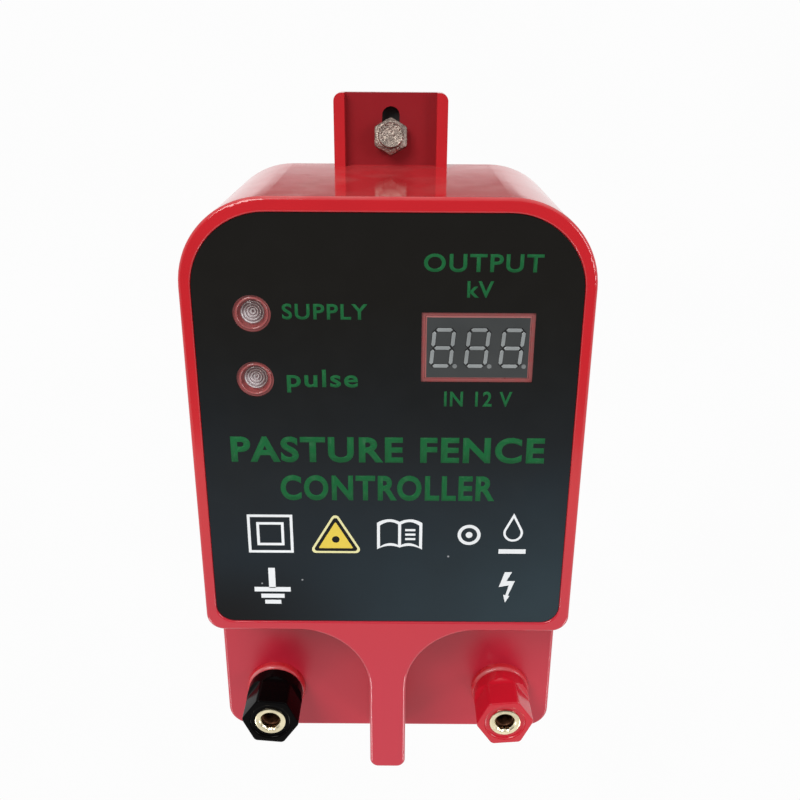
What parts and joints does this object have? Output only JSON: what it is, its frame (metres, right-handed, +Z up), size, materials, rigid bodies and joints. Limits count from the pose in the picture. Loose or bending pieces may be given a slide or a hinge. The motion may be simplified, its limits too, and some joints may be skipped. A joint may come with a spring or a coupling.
{
  "type": "fence energizer",
  "caption": "Wall-hung electric fence energizer: glossy case with a dark front panel, indicator lamps, a digital voltage display, a hanging tab and screw-down output terminals.",
  "frame": {"origin": "in the hanging slot, 1.1 mm above the hanging screw's axis, on the wall plane, which is the rear cover's back face", "axes": "+Z up, +Y into the wall, the front panel faces -Y, +X to the right when facing the panel"},
  "size_m": [0.0884, 0.071, 0.1657],
  "materials": {
    "red_case": "moulded ABS, glossy",
    "printed_label": "dark screen-printed film with a gloss laminate",
    "gasket_rubber": "soft black rubber",
    "clear_lens": "clear epoxy",
    "display_body": "grey filled epoxy face in a moulded shell",
    "tinned_steel": "tinned and zinc-plated steel",
    "zinc_screw": "zinc plate, dulled",
    "brass": "machined brass",
    "black_terminal": "glossy black thermoset",
    "red_terminal": "glossy red thermoplastic",
    "board_laminate": "green solder mask on glass-epoxy",
    "laminations": "stacked, varnished steel laminations",
    "ferrite": "fired ferrite",
    "bobbin_nylon": "natural nylon",
    "enamelled_copper": "enamelled copper wire",
    "capacitor_box": "yellow moulded box",
    "capacitor_sleeve": "dark blue shrink sleeve",
    "device_epoxy": "black moulding compound",
    "sink_aluminium": "extruded, anodised",
    "fuse_glass": "clear glass tube",
    "resistor_coat": "tan coating",
    "connector_green": "green moulded terminal block",
    "red_insulation": "PVC insulation",
    "black_insulation": "PVC insulation"
  },
  "bodies": {
    "case": {"board_screws": "tinned_steel", "charging_transformer_bobbin": "bobbin_nylon", "charging_transformer_core": "ferrite", "charging_transformer_winding": "enamelled_copper", "control_chip": "device_epoxy", "cover_gasket": "gasket_rubber", "cover_screws": "tinned_steel", "display_module": "display_body", "display_pins": "tinned_steel", "earth_collar": "red_terminal", "earth_inner_bush": "black_terminal", "earth_lead": "black_insulation", "earth_nuts": "brass", "earth_ring_terminal": "tinned_steel", "earth_stud": "brass", "earth_washer": "tinned_steel", "fence_collar": "red_terminal", "fence_inner_bush": "red_terminal", "fence_lead": "red_insulation", "fence_nuts": "brass", "fence_ring_terminal": "tinned_steel", "fence_stud": "brass", "fence_washer": "tinned_steel", "filter_capacitors": "capacitor_sleeve", "front_housing": "red_case", "front_label": "printed_label", "fuse": "fuse_glass", "fuse_clips": "tinned_steel", "heat_sink": "sink_aluminium", "main_board": "board_laminate", "mosfet": "device_epoxy", "power_connector": "connector_green", "power_jack": "device_epoxy", "power_jack_lugs": "tinned_steel", "power_jack_nut": "tinned_steel", "power_jack_pin": "brass", "power_lead_negative": "black_insulation", "power_lead_positive": "red_insulation", "power_led": "clear_lens", "pulse_led": "clear_lens", "pulse_transformer_bobbin": "bobbin_nylon", "pulse_transformer_core": "laminations", "pulse_transformer_winding": "enamelled_copper", "rear_cover": "red_case", "resistors": "resistor_coat", "storage_capacitor": "capacitor_box", "thyristor": "device_epoxy"},
    "wall_screw": {"hanging_screw": "zinc_screw", "screw_washer": "gasket_rubber"},
    "earth_follower": {"earth_clamp_washer": "brass"},
    "earth_knob": {"earth_cap": "black_terminal", "earth_cap_insert": "brass"},
    "fence_follower": {"fence_clamp_washer": "brass"},
    "fence_knob": {"fence_cap": "red_terminal", "fence_cap_insert": "brass"}
  },
  "joints": [
    {"name": "wall_screw_slide", "type": "slide", "parent": "case", "child": "wall_screw", "axis": [0, 0, 1], "range_m": [0, 0.0048]},
    {"name": "earth_cap_travel", "type": "slide", "parent": "case", "child": "earth_follower", "axis": [0, -1, 0], "range_m": [0, 0.004]},
    {"name": "earth_cap_turn", "type": "hinge", "parent": "earth_follower", "child": "earth_knob", "pos_m": [-0.0304, -0.0495, -0.1429], "axis": [0, -1, 0], "range_deg": [0, 1442]},
    {"name": "fence_cap_travel", "type": "slide", "parent": "case", "child": "fence_follower", "axis": [0, -1, 0], "range_m": [0, 0.004]},
    {"name": "fence_cap_turn", "type": "hinge", "parent": "fence_follower", "child": "fence_knob", "pos_m": [0.0304, -0.0495, -0.1429], "axis": [0, -1, 0], "range_deg": [0, 1442]}
  ],
  "couplings": [
    {"joint": "earth_cap_turn", "follows": "earth_cap_travel", "rad_per_m": 6283.2},
    {"joint": "fence_cap_turn", "follows": "fence_cap_travel", "rad_per_m": 6283.2}
  ]
}
